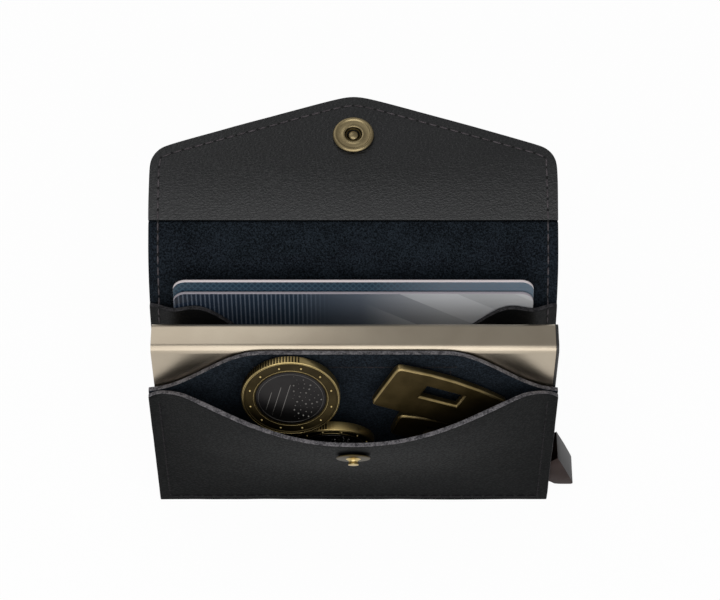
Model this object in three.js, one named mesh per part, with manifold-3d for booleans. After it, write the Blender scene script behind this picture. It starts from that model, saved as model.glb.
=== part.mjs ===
// Envelope wallet: a leather wallet sewn round a metal card case. A coin pocket is on the front, a card
// pocket on the back, and a pointed flap leans back from it. Millimetres, +Z up. X runs along the wallet,
// the coin pocket faces -Y, and the origin is under the middle of the case on the surface it stands on.
import * as THREE from 'three';
import { mergeVertices } from 'three/addons/utils/BufferGeometryUtils.js';
import Module from 'manifold-3d';

const wasm = await Module();
wasm.setup();

// Leather
const leather = 1.2;
const suede = 0.6;
const facingLeather = 1.0;
const seamMargin = 2.4;
const gap = 0.3;

// Card case. Its height follows from the cards and the guides, and its length from the guides and the lever.
const caseDepth = 8;
const caseWall = 1;
const caseCorner = 1.8;
const capFlange = 0.6;
const capPlug = 2.9;
const capSeat = 0.1;
const cardWidth = 85.6;
const cardHeight = 54;
const cardThickness = 0.76;
const cardCorner = 3.18;
const guideLength = 80;
const guideHeight = 3;
const guideInset = 1.2;
const bayClearance = 0.5;
const leftMargin = 1.4;
const rightMargin = 1.3;

// Push lever
const leverKeep = 3.1;
const pivotInset = 7;
const pivotZ = 6.5;
const pinRadius = 1.2;
const pinClearance = 0.08;
const hubRadius = 3.6;
const leverTravel = 30;
const armHeight = 34.5;
const armSteps = 5;
const armStepLength = 0.9;
const finTop = [10.3, 8.6];
const finLow = [14.8, -3.4];
const finFloor = -3.9;

// Coin pocket. A drop is measured down from the top of the case.
const coinPocketBulge = 14;
const bulgeFloor = 4;
const bulgeTopDrop = 6;
const bulgeFullness = 1;
const wallDipDrop = 19;
const wallDipX = 4;
const wallShoulderDrop = 10;
const wallShoulderInset = 8;
const wallCornerDrop = 16.1;
const leafRise = 0.2;
const leafFlatX = 22;
const leafCornerDrop = 15.5;
const studDrop = 27.7;

// Card pocket
const panelShoulderDrop = 3;
const panelShoulderInset = 10.8;
const panelCornerDrop = 6.5;
const panelDipDrop = 16;
const panelDipRun = 18;
const cardLean = 5.6;
const rearCardFoot = [8.23, 13.26];
const frontCardFoot = [6.78, 10.46];
const cardFit = 0.35;

// Flap
const flapSlope = 0.335;
const apexRound = 2.5;
const flapCorner = 6.5;
const facingStart = 78.8;
const snapInset = 11.7;

// Snap fastener
const snapRadius = 4.95;
const snapHole = 2.1;
const shankRadius = 1.3;
const shankClearance = 0.3;
const snapCapRadius = 6;
const studRadius = 4.15;
const studPost = 1.25;
const studPostHeight = 1.9;
const seat = 0.15;
const studSeat = 0.3;

// Coins and keys
const coinRadius = 11.625;
const coreRadius = 8.35;
const smallCoinRadius = 10.2;
const smallCoreRadius = 7.2;
const coinThickness = 2.33;
const coinRim = 0.9;
const coreFit = 0.05;
const keyThickness = 2.1;
const keyBevel = 0.4;

const caseHeight = cardHeight + bayClearance + 2 * (guideHeight + caseWall);
const caseLength = guideInset + guideLength + leverKeep + hubRadius + pivotInset;
const walletWidth = leftMargin + caseLength + rightMargin;
const halfWidth = walletWidth / 2;
const caseFront = -caseDepth / 2;
const caseBack = caseDepth / 2;
const caseLeft = leftMargin - halfWidth;
const caseRight = caseLeft + caseLength;
const pivotX = caseRight - pivotInset;
const caseBottom = leather + gap;
const caseTop = caseBottom + caseHeight;
const bayBottom = caseBottom + caseWall;
const bayTop = caseTop - caseWall;
const bayHalfDepth = caseDepth / 2 - caseWall;
const leafInner = caseFront - gap;
const leafOuter = leafInner - leather;
const leanRun = Math.tan(THREE.MathUtils.degToRad(cardLean));

const skin = (color, roughness, metalness = 0) => new THREE.MeshStandardMaterial({ color, roughness, metalness });
const materials = {
  leather: skin(0x26282a, 0.55),
  facing: skin(0x303235, 0.5),
  suede: skin(0x0e151d, 0.95),
  saddle: skin(0x131a22, 0.9),
  aluminium: skin(0xb8a68a, 0.35, 1),
  blackPlastic: skin(0x141414, 0.5),
  lever: skin(0x6a5650, 0.45, 0.6),
  steel: skin(0xa8a8aa, 0.3, 1),
  brass: skin(0x8a6f35, 0.35, 1),
  nickel: skin(0x8d8c8e, 0.35, 1),
  felt: skin(0x202020, 1),
  tape: skin(0xcfcabf, 0.7),
  rearCard: skin(0x3c5c74, 0.3),
  frontCard: skin(0x8794a3, 0.3),
};

const wallet = new THREE.Group();

function add(name, geometry, material, parent = wallet) {
  geometry.computeVertexNormals();
  const mesh = new THREE.Mesh(geometry, material);
  mesh.name = name;
  parent.add(mesh);
  return mesh;
}

function smoothstep(value) {
  const t = THREE.MathUtils.clamp(value, 0, 1);
  return t * t * (3 - 2 * t);
}

// Volume enclosed by an indexed mesh, negative where its faces point inwards.
function signedVolume(position, index) {
  const [a, b, c] = [new THREE.Vector3(), new THREE.Vector3(), new THREE.Vector3()];
  let volume = 0;
  for (let i = 0; i < index.length; i += 3) {
    a.fromArray(position, 3 * index[i]);
    b.fromArray(position, 3 * index[i + 1]);
    c.fromArray(position, 3 * index[i + 2]);
    volume += a.dot(b.cross(c)) / 6;
  }
  return volume;
}

function outward(position, index) {
  if (signedVolume(position, index) < 0) {
    for (let i = 0; i < index.length; i += 3) {
      [index[i + 1], index[i + 2]] = [index[i + 2], index[i + 1]];
    }
  }
  const geometry = new THREE.BufferGeometry();
  geometry.setAttribute('position', new THREE.Float32BufferAttribute(position, 3));
  geometry.setIndex(index);
  return geometry;
}

// A closed sheet between two grids of points, face[row][column] and back[row][column].
function sheet(face, back) {
  const rows = face.length;
  const columns = face[0].length;
  const behind = rows * columns;
  const position = [...face.flat(), ...back.flat()].flatMap((point) => point.toArray());
  const at = (row, column) => row * columns + column;
  const index = [];
  const quad = (a, b, c, d) => index.push(a, b, c, a, c, d);
  for (let row = 0; row < rows - 1; row++) {
    for (let column = 0; column < columns - 1; column++) {
      const corners = [at(row, column), at(row, column + 1), at(row + 1, column + 1), at(row + 1, column)];
      quad(...corners);
      quad(...corners.reverse().map((corner) => corner + behind));
    }
  }
  const rim = [];
  for (let column = 0; column < columns - 1; column++) rim.push(at(0, column));
  for (let row = 0; row < rows - 1; row++) rim.push(at(row, columns - 1));
  for (let column = columns - 1; column > 0; column--) rim.push(at(rows - 1, column));
  for (let row = rows - 1; row > 0; row--) rim.push(at(row, 0));
  rim.forEach((a, i) => {
    const b = rim[(i + 1) % rim.length];
    quad(b, a, a + behind, b + behind);
  });
  return outward(position, index);
}

// Prism of an outline in X and Z, from one Y to another.
function prism(points, fromY, toY, holes = []) {
  const outline = new THREE.Shape(points.map(([x, z]) => new THREE.Vector2(x, z)));
  outline.holes = holes.map((hole) => new THREE.Path(hole.map(([x, z]) => new THREE.Vector2(x, z))));
  const geometry = new THREE.ExtrudeGeometry(outline, { depth: toY - fromY, bevelEnabled: false });
  return geometry.rotateX(Math.PI / 2).translate(0, toY, 0);
}

function circle(x, z, radius, count = 24) {
  return Array.from({ length: count }, (_, i) => {
    const angle = (2 * Math.PI * i) / count;
    return [x + radius * Math.cos(angle), z + radius * Math.sin(angle)];
  });
}

// Turned piece: [radius, height] pairs, its axis along local Z.
function turned(profile, segments = 40) {
  const points = profile.map(([radius, height]) => new THREE.Vector2(radius, height));
  return new THREE.LatheGeometry(points, segments).rotateX(Math.PI / 2);
}

function roundedRectangle(width, height, radius) {
  const shape = new THREE.Shape();
  const [x, y] = [width / 2, height / 2];
  shape.moveTo(-x + radius, -y);
  shape.lineTo(x - radius, -y);
  shape.absarc(x - radius, -y + radius, radius, -Math.PI / 2, 0, false);
  shape.absarc(x - radius, y - radius, radius, 0, Math.PI / 2, false);
  shape.absarc(-x + radius, y - radius, radius, Math.PI / 2, Math.PI, false);
  shape.absarc(-x + radius, -y + radius, radius, Math.PI, 1.5 * Math.PI, false);
  return shape;
}

function toSolid(geometry) {
  const bare = geometry.clone();
  bare.deleteAttribute('normal');
  bare.deleteAttribute('uv');
  const merged = mergeVertices(bare, 1e-4);
  const vertProperties = new Float32Array(merged.attributes.position.array);
  const triVerts = new Uint32Array(merged.index.array);
  return new wasm.Manifold(new wasm.Mesh({ numProp: 3, vertProperties, triVerts }));
}

function toGeometry(solid) {
  const mesh = solid.getMesh();
  const geometry = new THREE.BufferGeometry();
  geometry.setAttribute('position', new THREE.BufferAttribute(new Float32Array(mesh.vertProperties), 3));
  geometry.setIndex([...mesh.triVerts]);
  return geometry;
}

function subtract(geometry, ...cutters) {
  return toGeometry(cutters.reduce((solid, cutter) => solid.subtract(toSolid(cutter)), toSolid(geometry)));
}

function join(...geometries) {
  const [first, ...rest] = geometries.map(toSolid);
  return toGeometry(rest.reduce((solid, other) => solid.add(other), first));
}

// Section of the back: the face of the suede from the foot of the pocket, over two soft bends, to the
// flap's point. Each point is [Y, Z].
const foot = caseBack + gap + leather + gap;
const backSection = [
  [foot, 0], [foot, 4], [foot + 1.2, 9], [foot + 3.2, 13.5], [foot + 4.7, 28], [foot + 6.3, 44],
  ...[
    [7.5, -10], [9.8, -3.5], [13.2, 1.8], [18.2, 5.9], [24.8, 9.1], [31.2, 11.4],
    [36.2, 12.4], [42, 12.9], [48.7, 13.4], [54.7, 13.8],
  ].map(([back, rise]) => [foot + back, caseTop + rise]),
];
const backCurve = new THREE.SplineCurve(backSection.map(([y, z]) => new THREE.Vector2(y, z)));
backCurve.arcLengthDivisions = 600;
const backLength = backCurve.getLength();

// Point of the back at x, a length along its section, and an offset towards the pocket side.
function backPoint(x, along, offset) {
  const share = Math.min(along / backLength, 1);
  const point = backCurve.getPointAt(share);
  const tangent = backCurve.getTangentAt(share);
  return new THREE.Vector3(x, point.x - tangent.y * offset, point.y + tangent.x * offset);
}

function backDepth(z) {
  let [low, high] = [0, backLength];
  for (let step = 0; step < 40; step++) {
    const middle = (low + high) / 2;
    if (backPoint(0, middle, 0).z < z) low = middle;
    else high = middle;
  }
  return backPoint(0, low, 0).y;
}

// Outline of the flap: a blunt point, two straight slopes and rounded corners.
const slopeAngle = Math.atan(flapSlope);
const cornerCentreX = halfWidth - flapCorner;
const cornerJoinX = cornerCentreX + flapCorner * Math.sin(slopeAngle);
const slopeAt = (x) => backLength - flapSlope * (Math.hypot(x, apexRound) - apexRound);
const cornerCentre = slopeAt(cornerJoinX) - flapCorner * Math.cos(slopeAngle);

function flapEdge(x) {
  const across = Math.abs(x);
  if (across <= cornerJoinX) return slopeAt(across);
  return cornerCentre + Math.sqrt(Math.max(flapCorner ** 2 - (across - cornerCentreX) ** 2, 0));
}

function mirrored(half) {
  const left = half.filter((x) => x > 0).map((x) => -x).reverse();
  return [...left, ...half];
}

const cornerAngles = [0.25, 0.5, 0.75, 1].map((share) => (Math.PI / 2 - slopeAngle) * (1 - share));
const flapColumns = mirrored([
  0, 3, 7, 14, 28, cornerJoinX,
  ...cornerAngles.map((angle) => cornerCentreX + flapCorner * Math.cos(angle)),
]);
const backRows = 24;
const flapRows = 4;
const straightRows = Array.from({ length: backRows + 1 }, (_, row) => (cornerCentre * row) / backRows);

// Sheet that follows the back from one length to its upper edge, or to a straight edge below the corners.
function backSheet(columns, from, to, face, back) {
  const levels = straightRows.filter((along) => along > from + gap && (to === null || along < to - gap));
  const lower = [from, ...levels, ...(to === null ? [] : [to])];
  const rowsAt = (x) => {
    if (to !== null) return lower;
    const upper = Array.from({ length: flapRows }, (_, row) => (
      cornerCentre + ((flapEdge(x) - cornerCentre) * (row + 1)) / flapRows
    ));
    return [...lower, ...upper];
  };
  const grid = (offset) => {
    const lines = columns.map((x) => rowsAt(x).map((along) => backPoint(x, along, offset)));
    return lines[0].map((_, row) => lines.map((line) => line[row]));
  };
  return sheet(grid(face), grid(back));
}

const outerFace = -(suede + gap);
const outerBack = outerFace - leather;
const facingFace = facingLeather - suede;
const snapAlong = backLength - snapInset;

// Frame at a point of a leather surface: local Z leaves the surface, local X runs along the wallet.
function frameOn(point, normal) {
  const frame = new THREE.Group();
  frame.position.copy(point);
  const side = new THREE.Vector3(1, 0, 0);
  const up = new THREE.Vector3().crossVectors(normal, side).normalize();
  frame.quaternion.setFromRotationMatrix(new THREE.Matrix4().makeBasis(side, up, normal));
  wallet.add(frame);
  frame.updateMatrixWorld(true);
  return frame;
}

const snapPoint = backPoint(0, snapAlong, facingFace);
const snapFrame = frameOn(snapPoint, backPoint(0, snapAlong, facingFace + 1).sub(snapPoint));
const snapDrill = turned([[0, -6], [shankRadius + shankClearance, -6], [shankRadius + shankClearance, 6], [0, 6]], 24)
  .applyMatrix4(snapFrame.matrixWorld);

const outerSheet = backSheet(flapColumns, 0, null, outerFace, outerBack);
const facingSheet = backSheet(flapColumns, facingStart, null, facingFace, -suede);
add('back_panel_and_flap', subtract(outerSheet, snapDrill), materials.leather);
add('flap_facing', subtract(facingSheet, snapDrill), materials.facing);
add('back_lining', backSheet([-halfWidth, halfWidth], 0, facingStart - gap, 0, -suede), materials.suede);

// Inner leather: one strip folded under the case. Its front leaf is the coin pocket's back wall, and its
// rear leaf is the card pocket's panel.
const openHalf = halfWidth - seamMargin;
const columnShares = [0, 0.13, 0.26, 0.37, 0.475, 0.54, 0.605, 0.67, 0.735, 0.8, 0.865, 0.93, 1];
const pocketColumns = mirrored([...columnShares.map((share) => share * openHalf), halfWidth]);

function leafEdge(x) {
  const fall = smoothstep((Math.abs(x) - leafFlatX) / (halfWidth - leafFlatX));
  return caseTop + leafRise - (leafRise + leafCornerDrop) * fall;
}

function panelEdge(x) {
  const inwards = halfWidth - Math.abs(x) - panelShoulderInset;
  const past = THREE.MathUtils.clamp(-inwards / panelShoulderInset, 0, 1);
  const shoulder = panelShoulderDrop + (panelCornerDrop - panelShoulderDrop) * past;
  return caseTop - shoulder - (panelDipDrop - panelShoulderDrop) * smoothstep(inwards / panelDipRun);
}

// Y of the rear leaf's front face: flat on the case, then along the cards, and back to the seam at the sides.
function panelDepth(x, z) {
  const alongCards = frontCardFoot[0] + (z - frontCardFoot[1]) * leanRun - cardThickness / 2 - cardFit - leather;
  const flat = Math.max(caseBack + gap, alongCards);
  const seam = Math.max(caseBack + gap, backDepth(z) - gap - leather);
  const flare = smoothstep((Math.abs(x) - cardWidth / 2 - gap) / (halfWidth - cardWidth / 2 - 2 * gap));
  return THREE.MathUtils.lerp(flat, Math.max(flat, seam), flare);
}

const leafRows = 6;
const panelRows = 10;
const foldRadius = 1.2;

function saddleColumn(x, thick) {
  const points = [];
  const reach = leafInner - thick;
  const floor = leather - thick;
  const radius = foldRadius + thick;
  for (let row = 0; row <= leafRows; row++) {
    const z = THREE.MathUtils.lerp(leafEdge(x), leather + foldRadius, row / leafRows);
    points.push([reach, z]);
  }
  for (const turn of [30, 60]) {
    const angle = THREE.MathUtils.degToRad(turn);
    points.push([reach + radius * (1 - Math.cos(angle)), floor + radius * (1 - Math.sin(angle))]);
  }
  points.push([reach + radius, floor], [-reach - radius, floor]);
  for (const turn of [60, 30]) {
    const angle = THREE.MathUtils.degToRad(turn);
    points.push([-reach - radius * (1 - Math.cos(angle)), floor + radius * (1 - Math.sin(angle))]);
  }
  for (let row = 0; row <= panelRows; row++) {
    const z = THREE.MathUtils.lerp(leather + foldRadius, panelEdge(x), row / panelRows);
    points.push([panelDepth(x, z) + thick, z]);
  }
  return points.map(([y, z]) => new THREE.Vector3(x, y, z));
}

function saddleGrid(thick) {
  const columns = pocketColumns.map((x) => saddleColumn(x, thick));
  return columns[0].map((_, row) => columns.map((column) => column[row]));
}

add('inner_leather', sheet(saddleGrid(0), saddleGrid(leather)), materials.saddle);

// Front wall of the coin pocket, filled out by what it holds.
function wallEdge(x) {
  const across = Math.abs(x);
  const shoulderX = halfWidth - wallShoulderInset;
  const past = THREE.MathUtils.clamp((across - shoulderX) / wallShoulderInset, 0, 1);
  const rise = smoothstep((across - wallDipX) / (shoulderX - wallDipX));
  const dip = wallDipDrop - (wallDipDrop - wallShoulderDrop) * rise;
  return caseTop - dip - (wallCornerDrop - wallShoulderDrop) * past;
}

function wallDepth(x, z) {
  const across = Math.abs(x) / openHalf;
  const sideways = across < 1 ? (1 - across ** 2) ** bulgeFullness : 0;
  const upwards = smoothstep((z - bulgeFloor) / (caseTop - bulgeTopDrop - bulgeFloor));
  return leafOuter - gap - coinPocketBulge * sideways * upwards;
}

function wallPoint(x, z, thick) {
  const step = 0.05;
  const here = wallDepth(x, z);
  const alongX = (wallDepth(x + step, z) - wallDepth(x - step, z)) / (2 * step);
  const alongZ = (wallDepth(x, z + step) - wallDepth(x, Math.max(z - step, 0))) / (2 * step);
  const normal = new THREE.Vector3(alongX, -1, alongZ).normalize();
  if (z === 0 || Math.abs(x) === halfWidth) normal.set(0, -1, 0);
  return new THREE.Vector3(x, here, z).addScaledVector(normal, thick);
}

const wallRows = 12;

function wallGrid(thick) {
  const columns = pocketColumns.map((x) => Array.from({ length: wallRows + 1 }, (_, row) => (
    wallPoint(x, (wallEdge(x) * row) / wallRows, thick)
  )));
  return columns[0].map((_, row) => columns.map((column) => column[row]));
}

const studHeight = caseTop - studDrop;
const studPoint = wallPoint(0, studHeight, leather);
const studFrame = frameOn(studPoint, wallPoint(0, studHeight, leather + 1).sub(studPoint));
const studDrill = turned([[0, -4], [shankRadius, -4], [shankRadius, 4], [0, 4]], 24)
  .applyMatrix4(studFrame.matrixWorld);
add('coin_pocket_front', subtract(sheet(wallGrid(0), wallGrid(leather)), studDrill), materials.leather);

// Snap on the flap: a turned socket on the inside, a ring spring in it, and a cap whose post holds them.
const snapBack = -(facingLeather + gap + leather);
add('snap_socket', turned([
  [snapHole, seat], [snapRadius - 0.35, seat], [snapRadius, seat + 0.3], [snapRadius, seat + 0.65],
  [snapRadius - 0.3, seat + 1], [snapRadius - 0.75, seat + 1.02], [snapRadius - 1.05, seat + 0.75],
  [snapHole + 0.8, seat + 0.75], [snapHole + 0.35, seat + 0.95], [snapHole, seat + 0.85], [snapHole, seat],
]), materials.brass, snapFrame);

const springRadius = (shankRadius + snapHole) / 2 + 0.05;
const springRing = Array.from({ length: 9 }, (_, i) => {
  const angle = (2 * Math.PI * (i % 8)) / 8;
  return [springRadius + 0.2 * Math.cos(angle), 0.5 + 0.2 * Math.sin(angle)];
});
add('snap_spring', turned(springRing, 32), materials.steel, snapFrame);

add('snap_cap', turned([
  [0, snapBack - seat - 1.1], [2.6, snapBack - seat - 1], [4.6, snapBack - seat - 0.75],
  [snapCapRadius - 0.3, snapBack - seat - 0.4], [snapCapRadius, snapBack - seat - 0.1],
  [snapCapRadius - 0.1, snapBack - seat], [shankRadius, snapBack - seat], [shankRadius, 0.3],
  [shankRadius - 0.25, 0.62], [shankRadius - 0.7, 0.82], [0, 0.88],
]), materials.brass, snapFrame);

// Stud on the coin pocket: a plate with a grooved post, riveted to a washer inside the pocket.
const studPlate = 0.45;
const rivetRadius = 0.7;
const rivetFit = 0.1;
add('snap_stud', turned([
  [rivetRadius + rivetFit, studSeat], [studRadius - 0.2, studSeat], [studRadius, studSeat + 0.15],
  [studRadius - 0.15, studSeat + studPlate - 0.1], [studPost + 0.5, studSeat + studPlate], [studPost, studSeat + 0.75],
  [studPost - 0.15, studSeat + 1.05], [studPost - 0.15, studSeat + 1.25], [studPost, studSeat + 1.5],
  [studPost + 0.05, studSeat + 1.85], [studPost - 0.3, studSeat + studPostHeight], [0, studSeat + studPostHeight + 0.06],
  [0, studSeat + 1.35], [rivetRadius + rivetFit, studSeat + 1.35], [rivetRadius + rivetFit, studSeat],
]), materials.brass, studFrame);

add('stud_washer', turned([
  [0, -leather - studSeat - 0.5], [studRadius - 0.4, -leather - studSeat - 0.45], [studRadius - 0.1, -leather - studSeat - 0.2],
  [studRadius - 0.15, -leather - studSeat], [rivetRadius, -leather - studSeat], [rivetRadius, 1.2], [0, 1.2],
], 32), materials.steel, studFrame);

// Card case: a drawn tube, open at the left, with a corner cut away for the push lever.
const sweep = (angle) => THREE.MathUtils.degToRad(angle);
const finReach = Math.hypot(...finTop);
const notchInner = hubRadius + 2.3;
const notchOuter = finReach + 0.5;
const notchEnd = THREE.MathUtils.radToDeg(Math.atan2(finTop[1], finTop[0])) + leverTravel + 2;

function arc(radius, fromAngle, toAngle, count) {
  return Array.from({ length: count + 1 }, (_, i) => {
    const angle = sweep(THREE.MathUtils.lerp(fromAngle, toAngle, i / count));
    return [pivotX + radius * Math.cos(angle), pivotZ + radius * Math.sin(angle)];
  });
}

const notchStart = -30;
const notchFloor = caseBottom - 1;
const beyondX = caseRight + 5;
const beyondAngle = THREE.MathUtils.radToDeg(Math.acos((caseRight + 1 - pivotX) / notchOuter));
const notch = [
  ...arc(notchInner, notchEnd, notchStart, 8),
  [pivotX + notchInner * Math.cos(sweep(notchStart)), notchFloor],
  [beyondX, notchFloor],
  [beyondX, pivotZ + notchOuter * Math.sin(sweep(beyondAngle))],
  ...arc(notchOuter, beyondAngle, notchEnd, 10),
];

function caseSection(inset) {
  const radius = Math.max(caseCorner - inset, 0.6);
  return roundedRectangle(caseDepth - 2 * inset, caseHeight - 2 * inset, radius);
}

function alongCase(shape, fromX, toX, curveSegments = 6) {
  const geometry = new THREE.ExtrudeGeometry(shape, { depth: toX - fromX, bevelEnabled: false, curveSegments });
  return geometry.rotateX(Math.PI / 2).rotateZ(Math.PI / 2).translate(fromX, 0, caseBottom + caseHeight / 2);
}

const tube = subtract(
  alongCase(caseSection(0), caseLeft, caseRight),
  alongCase(caseSection(caseWall), caseLeft - 1, caseRight + 1),
  prism(notch, caseFront - 1, caseBack + 1),
  prism(circle(pivotX, pivotZ, pinRadius + pinClearance), caseFront - 1, caseBack + 1),
);
add('case_tube', tube, materials.aluminium);

// End cap: a thin plate on the tube's right end with a plug inside it, above the lever.
const capFoot = pivotZ + notchOuter + 0.4;
const plugClearance = 0.15;
const capKeep = new THREE.BoxGeometry(20, 20, capFoot).translate(caseRight, 0, capFoot / 2);
const endCap = subtract(join(
  alongCase(caseSection(0), caseRight + capSeat, caseRight + capSeat + capFlange),
  alongCase(caseSection(caseWall + plugClearance), caseRight - capPlug, caseRight + capSeat + capFlange / 2),
), capKeep);
add('case_end_cap', endCap, materials.blackPlastic);

// Guides that the cards' long edges slide between.
const guideSeat = 0.1;
const guideSide = 0.7;
function guide(fromZ, toZ) {
  const size = [guideLength, 2 * (bayHalfDepth - guideSide), toZ - fromZ - 2 * guideSeat];
  const middle = [caseLeft + guideInset + guideLength / 2, 0, (fromZ + toZ) / 2];
  return new THREE.BoxGeometry(...size).translate(...middle);
}
add('card_guide_top', guide(bayTop - guideHeight, bayTop), materials.felt);
add('card_guide_bottom', guide(bayBottom, bayBottom + guideHeight), materials.felt);

// Push lever: a full-depth fin outside the case, and a stepped arm inside that pushes the cards out.
const armHalf = bayHalfDepth - gap;
const finHalf = caseDepth / 2 - 0.1;
const fromPivot = (points) => points.map(([x, z]) => [pivotX + x, pivotZ + z]);
const fin = prism(fromPivot([
  [6.2, finFloor + 1.7], [8, finFloor + 1.6], [9, finFloor + 1.2], [10.2, finFloor + 0.2], [11.5, finFloor],
  [finLow[0] - 0.5, finFloor], [finLow[0] - 0.1, finFloor + 0.2], finLow, [finLow[0] - 0.3, finLow[1] + 1],
  [finLow[0] - 1.1, finLow[1] + 3.2], [finLow[0] - 2.1, finLow[1] + 6], [finLow[0] - 3.2, finLow[1] + 8.8], finTop, [5.3, 3.6], [6.2, 1],
]), -finHalf, finHalf);
const hub = prism(circle(pivotX, pivotZ, hubRadius), -armHalf, armHalf);
const web = prism(fromPivot([[0, 0.4 - hubRadius], [6.7, 0.4 - hubRadius], [6.7, 4], [0, hubRadius - 0.1]]),
  -armHalf, armHalf);
const steps = Array.from({ length: armSteps }, (_, i) => {
  const width = (2 * armHalf) / armSteps;
  const left = -2.4 + armStepLength * i * 0.8;
  const outline = [[-2.2, 2.4], [left, 9], [left + 1, armHeight - 1], [left + 1.6, armHeight], [2.9, armHeight],
    [3.1, 9], [2.9, 1.5]];
  return prism(fromPivot(outline), -armHalf + i * width, -armHalf + (i + 1) * width + (i < armSteps - 1 ? 0.05 : 0));
});
const bore = prism(circle(pivotX, pivotZ, pinRadius + pinClearance), -caseDepth, caseDepth);
add('push_lever', subtract(join(fin, hub, web, ...steps), bore), materials.lever);
add('lever_pin', prism(circle(pivotX, pivotZ, pinRadius), caseFront + 0.05, caseBack - 0.05), materials.steel);

// Double-sided tape between the case and the inner leather.
const tapeFit = 0.02;
const tapeWidth = 80;
const tapeInset = 3.4;
const tapeFoot = 5;
const tapeDrop = 17;
const tapeBottomWidth = 5;
const tapeX = caseLeft + tapeInset + tapeWidth / 2;
const tapeHeight = caseTop - tapeDrop - tapeFoot;
add('tape_front', new THREE.BoxGeometry(tapeWidth, gap - 2 * tapeFit, tapeHeight)
  .translate(tapeX, caseFront - gap / 2, tapeFoot + tapeHeight / 2), materials.tape);
add('tape_bottom', new THREE.BoxGeometry(tapeWidth, tapeBottomWidth, gap - 2 * tapeFit)
  .translate(tapeX, 0, leather + gap / 2), materials.tape);

// Cards in the rear pocket, leaning with it.
function card(name, [footY, footZ], material) {
  const shape = roundedRectangle(cardWidth, cardHeight, cardCorner);
  const options = { depth: cardThickness, bevelEnabled: false, curveSegments: 5 };
  const geometry = new THREE.ExtrudeGeometry(shape, options).translate(0, 0, -cardThickness / 2);
  geometry.translate(0, cardHeight / 2, 0).rotateX(Math.PI / 2);
  const mesh = add(name, geometry, material);
  mesh.rotation.x = -sweep(cardLean);
  mesh.position.set(0, footY, footZ);
}
card('card_rear', rearCardFoot, materials.rearCard);
card('card_front', frontCardFoot, materials.frontCard);

// Two-metal coins: a ring with a raised rim round a core. Each piece in the coin pocket has a place: X, how
// far it stands before the back wall, and its drop below the top of the case.
function coin(name, [x, standOff, drop], lean, radius, core) {
  const holder = new THREE.Group();
  holder.position.set(x, leafOuter - standOff, caseTop - drop);
  holder.rotation.set(Math.PI / 2 - sweep(lean), 0, 0, 'ZXY');
  wallet.add(holder);
  const half = coinThickness / 2;
  const field = half - 0.15;
  const inner = core + coreFit;
  add(`${name}_ring`, turned([
    [inner, -field], [radius - coinRim, -field], [radius - coinRim + 0.1, -half],
    [radius - 0.15, -half], [radius, -half + 0.15], [radius, half - 0.15], [radius - 0.15, half],
    [radius - coinRim + 0.1, half], [radius - coinRim, field], [inner, field], [inner, -field],
  ], 48), materials.brass, holder);
  add(`${name}_core`, turned([
    [0, -field], [core - coreFit, -field], [core - coreFit, field], [0, field],
  ], 48), materials.nickel, holder);
}
coin('coin_upper', [-14.7, 4.3, 10.8], 14, coinRadius, coreRadius);
coin('coin_lower', [-5.1, 3.6, 32.4], -10, smallCoinRadius, smallCoreRadius);

// Flat keys: a wide bow with a slot, and a short notched blade.
function keyShape(bowWidth, bowLength, bladeLength, crown) {
  const half = bowWidth / 2;
  const blade = 3.2;
  const shape = new THREE.Shape();
  const corner = 1.8;
  shape.moveTo(corner, -half);
  shape.lineTo(bowLength - 3, -half);
  shape.quadraticCurveTo(bowLength, -half, bowLength, -blade);
  shape.lineTo(bowLength + bladeLength - 2, -blade);
  shape.lineTo(bowLength + bladeLength, -blade + 2);
  for (let notchAt = bladeLength - 1.5; notchAt > 3; notchAt -= 2.8) {
    shape.lineTo(bowLength + notchAt, blade - 1.3);
    shape.lineTo(bowLength + notchAt - 1, blade);
    shape.lineTo(bowLength + notchAt - 1.8, blade);
  }
  shape.lineTo(bowLength, blade);
  shape.quadraticCurveTo(bowLength, half - 1.2 * crown, bowLength - 2, half - crown);
  shape.quadraticCurveTo(bowLength / 2, half + crown, corner, half);
  shape.quadraticCurveTo(0, half, 0, half - corner);
  shape.lineTo(0, -half + corner);
  shape.quadraticCurveTo(0, -half, corner, -half);
  return shape;
}

function slotPath(x, y, length, height) {
  const path = new THREE.Path();
  path.moveTo(x, y - height / 2);
  path.lineTo(x, y + height / 2);
  path.lineTo(x + length, y + height / 2);
  path.lineTo(x + length, y - height / 2);
  path.closePath();
  return path;
}

function key(name, shape, [x, standOff, drop], lean, yaw, turn) {
  const options = {
    depth: keyThickness - 2 * keyBevel, bevelThickness: keyBevel, bevelSize: keyBevel, bevelOffset: -keyBevel,
    bevelSegments: 1, curveSegments: 4,
  };
  const geometry = new THREE.ExtrudeGeometry(shape, options).translate(0, 0, -keyThickness / 2 + keyBevel);
  const holder = new THREE.Group();
  holder.position.set(x, leafOuter - standOff, caseTop - drop);
  holder.rotation.set(Math.PI / 2 - sweep(lean), 0, sweep(yaw), 'ZXY');
  wallet.add(holder);
  const mesh = add(name, geometry, materials.brass, holder);
  mesh.rotation.z = -sweep(turn);
}

const bow = keyShape(14.2, 31, 4, 1.6);
bow.holes.push(slotPath(9.7, 1.6, 9.9, 3.8));
key('key_upper', bow, [7.2, 3.35, 7], 7, 5.5, 28);
const smallBow = keyShape(9, 15, 11, 0.5);
smallBow.holes.push(slotPath(8, 0, 3.6, 2.6));
key('key_lower', smallBow, [9.9, 1.4, 27], 0, 0, 16);

export default wallet;
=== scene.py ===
"""Envelope wallet: leather sewn round a metal card case, open, with cards, coins and keys in its pockets.

Metres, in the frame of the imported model: X along the wallet, -Y towards the coin pocket, Z up.
"""

import math

import bpy
from mathutils import Matrix, Vector
from mathutils.bvhtree import BVHTree


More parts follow.
